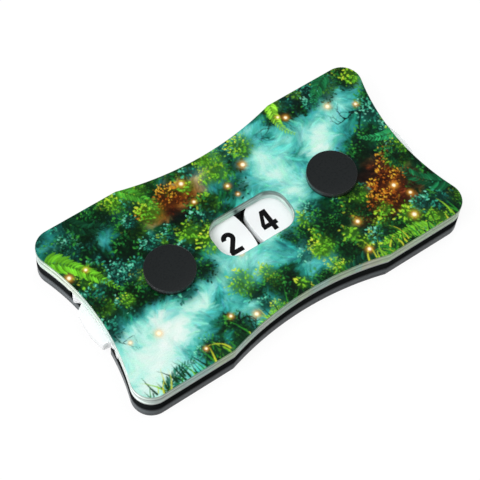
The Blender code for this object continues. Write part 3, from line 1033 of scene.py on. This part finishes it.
def colour_top(sheet_object):
    """Puts the painting on the sheet's top as a colour at each vertex, and painted light and shade
    on its clear walls.
    """
    painting = paint_design()
    mesh = sheet_object.data
    spots = at_vertices(mesh, "co") / MM
    colours = np.ones((len(spots), 4))
    colours[:, :3] = sample(painting, spots[:, 0], spots[:, 1])
    wall = spots[:, 2] < TOP_OF_STACK - 0.001 * SHEET
    facing = at_vertices(mesh, "normal")[wall]
    colours[wall, :3] = glass_colours(painting, spots[wall], facing)
    layer = mesh.color_attributes.new("paint", "FLOAT_COLOR", "POINT")
    layer.data.foreach_set("color", colours.astype(np.float32).ravel())


def glass_colours(painting, spots, facing):
    """Painted light and shade for the clear walls: pale glass tinted by a painted refraction of the
    print, the print near the top, and painted shade by height.
    """
    height = spots[:, 2] - 2 * SHEET
    facing = facing[:, :2] / np.maximum(np.linalg.norm(facing[:, :2], axis=1), 0.01)[:, None]
    sideways = np.stack([-facing[:, 1], facing[:, 0]], axis=1)
    # The print painted on the walls as if refracted through the glass from above and beside
    painted_print_refraction = []
    for reach in (0.6, 1.5, 2.7):
        for shift in (-1.5, -0.9, -0.3, 0.3, 0.9, 1.5):
            x, y = (spots[:, :2] - facing * reach + sideways * shift).T
            painted_print_refraction.append(sample(painting, x, y))
    painted_print_refraction = np.mean(painted_print_refraction, axis=0)
    level = painted_print_refraction.mean(axis=1, keepdims=True)
    middle = np.abs(spots[:, :2]) / (WINDOW_LENGTH, WINDOW_WIDTH)
    in_window = np.max(middle, axis=1) < 0.6
    # Painted light: walls facing along X get lighter and less tint
    painted_end_light = facing[:, 0] ** 2
    power = np.where(in_window, 0.16, 0.25 - 0.17 * painted_end_light)[:, None]
    tint = np.clip(painted_print_refraction / np.maximum(level, 0.01), 0.3, 2.0) ** power
    share = np.interp(height, (1.6, 2.1, 2.5, 2.8, 3.0), (0.0, 0.05, 0.2, 0.38, 0.45))[:, None]
    shades = (1.34, 1.14, 1.02, 0.94, 1.3, 1.16, 1.0, 1.0)
    shade = np.interp(height, (0.1, 0.5, 1.0, 1.7, 2.3, 2.6, 2.8, 3.0), shades)
    # Painted light on the walls facing along X
    shade *= 1.0 + 0.7 * painted_end_light
    shade[in_window] = window_shade(spots[in_window, 0], height[in_window], facing[in_window])
    # Lighter where the print above is lighter, as painted light through the glass
    glass = np.outer(shade, (0.46, 0.50, 0.48)) * tint * (0.88 + 0.4 * np.minimum(level, 0.6))
    return (1 - share) * glass + share * painted_print_refraction


def window_shade(x, height, facing):
    """Painted light and shade on the window's wall: shade by height, dark near the print, the
    spacers' dark tip painted as if through the glass, a dark band at the far corner, and lighter to
    the left and on walls facing -X.
    """
    shades = (1.35, 1.2, 1.35, 1.6, 1.5, 0.85, 0.55, 0.5)
    shade = np.interp(height, (0.1, 0.5, 0.9, 1.4, 2.2, 2.45, 2.7, 2.9), shades)
    # Painted light, lighter towards -X
    shade *= np.interp(x, (-3.0, 0.0, 4.0), (1.18, 1.0, 0.86))
    slant = -0.85 + 0.35 * np.clip(1.8 - height, 0, 1.5)
    along, across = facing.T
    # Painted shade where the black spacers' tip would show through the glass
    tip = np.exp(-(((x - slant) / 0.5) ** 2) - ((height - 1.3) / 1.3) ** 2) * (across < -0.9)
    corner = np.clip(1 - 6 * across, 0, 1) * np.clip(-4 * along, 0, 1)
    # Painted dark band round the far corner, for light refracted there
    band = np.exp(-np.abs((height - 2.1) / (0.45 - 0.3 * across)) ** 3) * corner
    # Painted light on walls facing -X
    return shade * (1 - 0.88 * tip) * (1 - 0.72 * band) * (1 + 0.35 * np.clip(-along, 0, 1))


def sample(painting, x, y):
    """The painting's colour between its cells."""
    fx, fy = (x - painting.low[0]) / painting.cell, (y - painting.low[1]) / painting.cell
    ix = np.clip(fx.astype(int), 0, len(painting.xs) - 2)
    iy = np.clip(fy.astype(int), 0, len(painting.ys) - 2)
    tx, ty = (fx - ix)[:, None], (fy - iy)[:, None]
    return within([painting.colour[iy + j, ix + i] for j in (0, 1) for i in (0, 1)], tx, ty)


# The pieces

def settle(piece, body, node_name):
    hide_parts(node_name)
    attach(piece, body)


def keep_plain(piece, reach):
    """The faces less than reach from the long middle line take the last material."""
    for face in piece.data.polygons:
        if abs(face.center.y) < reach * MM:
            face.material_index = len(piece.data.materials) - 1


def add_sheets():
    dark, light = (0.093, 0.106, 0.112), (0.122, 0.138, 0.145)
    # Painted shade bands by height on the grey walls
    grey = cut_sheet("grey_cut_acrylic", dark, light, 0.3, 0.03, GREY_BANDS)
    holes = [circle(SCREW_HOLE, (axle, 0.0)) for axle in SIDES.values()]
    wall = rounded_wall(0.0, SHEET, CUT_EDGE, CUT_EDGE)
    bottom = plate("bottom_sheet", [bottom_outline()] + holes, [wall, SINK, SINK], [grey])
    settle(bottom, "case", "bottom_plate")
    # Walls and underside take painted shade bands and a painted highlight along the top edge; the
    # top and the walls near the middle line stay plain black
    black = black_sheet("black_acrylic_painted_highlight", 0.0, BLACK_BANDS, PAINTED_EDGE_HIGHLIGHT)
    plain = black_sheet("black_acrylic_plain")
    rear = spacer_outline()
    front = [(-x, -y) for x, y in rear]
    wall = rounded_wall(SHEET, 2 * SHEET, CUT_EDGE, JOINT_EDGE)
    for name, loop in (("rear_spacer", rear), ("front_spacer", front)):
        piece = plate(name + "_sheet", [loop], [wall], [black, plain])
        keep_plain(piece, TIP_REACH)
        settle(piece, "case", name)
    posts = [circle(POST_RADIUS + POST_GAP, (axle, 0.0)) for axle in SIDES.values()]
    loops = [sheet_outline(), window_outline()] + posts
    wall = rounded_wall(2 * SHEET, TOP_OF_STACK, JOINT_EDGE, PRINTED_EDGE, 9)
    looks = [clear_sheet(), printed_ink()]
    top = plate("printed_top_sheet", loops, [wall] * len(loops), looks, PRINT_GRID)
    colour_top(top)
    settle(top, "case", "top_plate")


def add_dials():
    ink = black_ink()
    # The lighter white on the dial walls and underside is painted light, for light the walls catch;
    # the top takes the darker white
    white = [
        white_sheet("white_acrylic_painted_lit_walls", (0.88, 0.895, 0.90), (0.915, 0.925, 0.93)),
        white_sheet("white_acrylic_top", (0.775, 0.79, 0.80), (0.81, 0.82, 0.825)),
    ]
    outline, bore = dial_outline(), circle(HUB_RADIUS + HUB_GAP)
    wall = rounded_wall(DIAL_LOW, DIAL_HIGH, CUT_EDGE, CUT_EDGE)
    for dial, axle in SIDES.items():
        loops = [[(x + axle, y) for x, y in loop] for loop in (outline, bore)]
        disc = plate(dial + "_disc", loops, [wall, wall], white)
        settle(disc, dial + "_wheel", dial + "_dial")
        numbers = add_digits(dial, axle, ink)
        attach(numbers, dial + "_wheel")


def add_posts():
    dark, light = (0.052, 0.049, 0.055), (0.066, 0.063, 0.069)
    # The rim's lighter black is a painted highlight; the side's lighter black is painted light and
    # reflection of the print, with painted shade towards its foot
    nylon = [
        black_nylon("black_nylon_grain", 0.08, (0.0058, 0.0074, 0.0078), (0.0098, 0.0118, 0.0122)),
        black_nylon("black_nylon_rim_painted_highlight", 0.16, (0.010, 0.0105, 0.012), (0.016, 0.017, 0.018)),
        cut_sheet("black_nylon_side_painted_light", dark, light, 0.3, 0.32, HEAD_BANDS),
    ]
    centre = (HEAD_RADIUS - HEAD_EDGE, POST_TOP - HEAD_EDGE)
    edge = arc(centre, HEAD_EDGE, pi / 2, 0.0)
    profile = [(0.0, POST_TOP), (HEAD_FLAT, POST_TOP)] + edge + [
        (HEAD_RADIUS, HEAD_LOW + HEAD_EDGE),
        (HEAD_RADIUS - HEAD_EDGE, HEAD_LOW),
        (POST_RADIUS, HEAD_LOW),
        (POST_RADIUS, POST_FOOT),
        (SCREW_HOLE, POST_FOOT),
        (SCREW_HOLE, BORE_TOP),
        (0.0, BORE_TOP),
    ]
    surfaces = [0, 0] + [1] * (len(edge) - 1) + [2, 2] + [0] * 5
    for dial, axle in SIDES.items():
        post = turned(dial + "_post_turned", profile, axle, nylon, surfaces)
        settle(post, "case", dial + "_post")


def dress_cad_nodes():
    """The hub rings and the screws keep their own shape."""
    black = black_sheet("black_hub_acrylic", 0.05)
    steel = plated_steel()
    for dial in SIDES:
        for part, material in (("hub", black), ("screw", steel)):
            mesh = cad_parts[f"{dial}_{part}"].data
            mesh.materials.clear()
            mesh.materials.append(material)


# Camera, floor and light

def add_camera():
    azimuth, elevation, roll = (radians(a) for a in CAMERA_ANGLES)
    right = Vector((cos(azimuth), sin(azimuth), 0.0))
    back = Vector((right.y, -right.x, 0.0)) * cos(elevation)
    back.z = sin(elevation)
    up = back.cross(right)
    across = right * cos(roll) + up * sin(roll)
    upward = -right * sin(roll) + up * cos(roll)
    data = bpy.data.cameras.new("camera")
    data.lens, data.sensor_width = LENS, SENSOR
    data.shift_x, data.shift_y = LENS_SHIFT
    data.clip_start, data.clip_end = 0.01, 10.0
    camera = put_in_scene("camera", data)
    turn = Matrix((across, upward, back)).transposed().to_4x4()
    camera.matrix_world = Matrix.Translation(back * CAMERA_DISTANCE) @ turn
    bpy.context.scene.camera = camera


def seen_directly(tree):
    """1 for a ray from the camera or off gloss or through glass, else 0."""
    rays = node(tree, "LightPath")
    total = rays.outputs["Is Camera Ray"]
    for kind in ("Is Glossy Ray", "Is Transmission Ray"):
        links = {0: total, 1: rays.outputs[kind]}
        total = node(tree, "Math", links, operation="MAXIMUM").outputs[0]
    return total


def add_floor():
    """A pale floor, mostly white to the eye so that only a soft shadow shows on it."""
    material = bpy.data.materials.new("pale_floor")
    material.use_nodes = True
    tree = material.node_tree
    tree.nodes.remove(tree.nodes["Principled BSDF"])
    grey, white = (*[FLOOR_GREY] * 3, 1.0), (1.0, 1.0, 1.0, 1.0)
    matte = node(tree, "BsdfDiffuse", values={"Color": grey})
    glow = node(tree, "Emission", values={"Color": white, "Strength": FLOOR_WHITE})
    share = node(tree, "Math", {0: seen_directly(tree)}, {1: FLOOR_SHARE}, operation="MULTIPLY")
    links = {0: share.outputs[0], 1: matte.outputs[0], 2: glow.outputs[0]}
    mix = node(tree, "MixShader", links)
    tree.links.new(mix.outputs[0], tree.nodes["Material Output"].inputs["Surface"])
    shape = bmesh.new()
    bmesh.ops.create_grid(shape, x_segments=8, y_segments=8, size=FLOOR_HALF)
    floor = mesh_object("floor", shape, [material])
    floor.location.z = -FLOOR_DROP


def add_world(ambient=0.15):
    """A white world to the eye that lights the part only a little."""
    world = bpy.data.worlds.new("studio")
    world.use_nodes = True
    tree = world.node_tree
    background = tree.nodes["Background"]
    background.inputs["Color"].default_value = (0.97, 0.985, 1.0, 1.0)
    strength = spread(tree, seen_directly(tree), 0.0, 1.0, ambient, 1.0)
    tree.links.new(strength, background.inputs["Strength"])
    bpy.context.scene.world = world


def add_lamp(name, place, size, power):
    data = bpy.data.lights.new(name, "AREA")
    data.shape = "DISK"
    data.size = size
    data.energy = power
    lamp = put_in_scene(name, data)
    spot = Vector(place)
    lamp.matrix_world = Matrix.Translation(spot) @ spot.to_track_quat("Z", "Y").to_matrix().to_4x4()


add_camera()
add_floor()
add_world()
for lamp_values in LAMPS:
    add_lamp(*lamp_values)
add_sheets()
add_dials()
add_posts()
dress_cad_nodes()
bpy.context.scene.view_settings.view_transform = "Standard"
